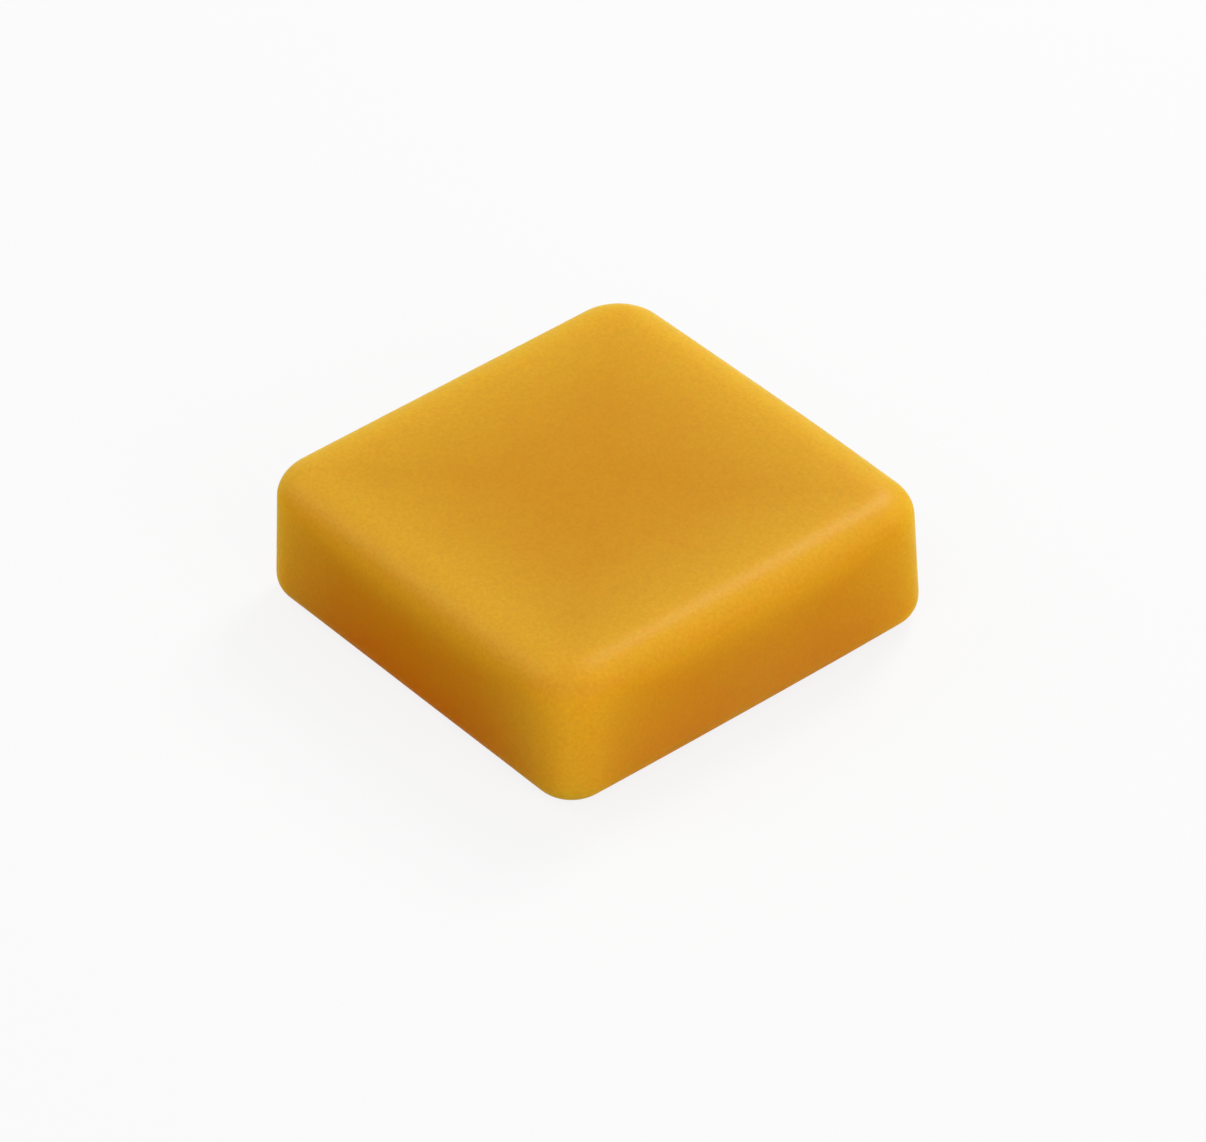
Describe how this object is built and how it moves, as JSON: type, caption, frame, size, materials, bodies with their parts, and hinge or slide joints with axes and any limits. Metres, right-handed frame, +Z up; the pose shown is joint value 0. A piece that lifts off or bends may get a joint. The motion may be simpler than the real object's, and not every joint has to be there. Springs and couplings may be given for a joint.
{
  "type": "clay bar",
  "caption": "Square block of moulded polymer clay, rubbed flat over wet paint to lift bonded dirt.",
  "frame": {"origin": "middle of the flat base the block rests on", "axes": "+Z up from the base to the working face, +X and +Y square to the sides of the block"},
  "size_m": [0.06, 0.06, 0.0192],
  "materials": {
    "clay": "satin"
  },
  "bodies": {
    "root": {"clay_block": "clay"}
  },
  "joints": []
}
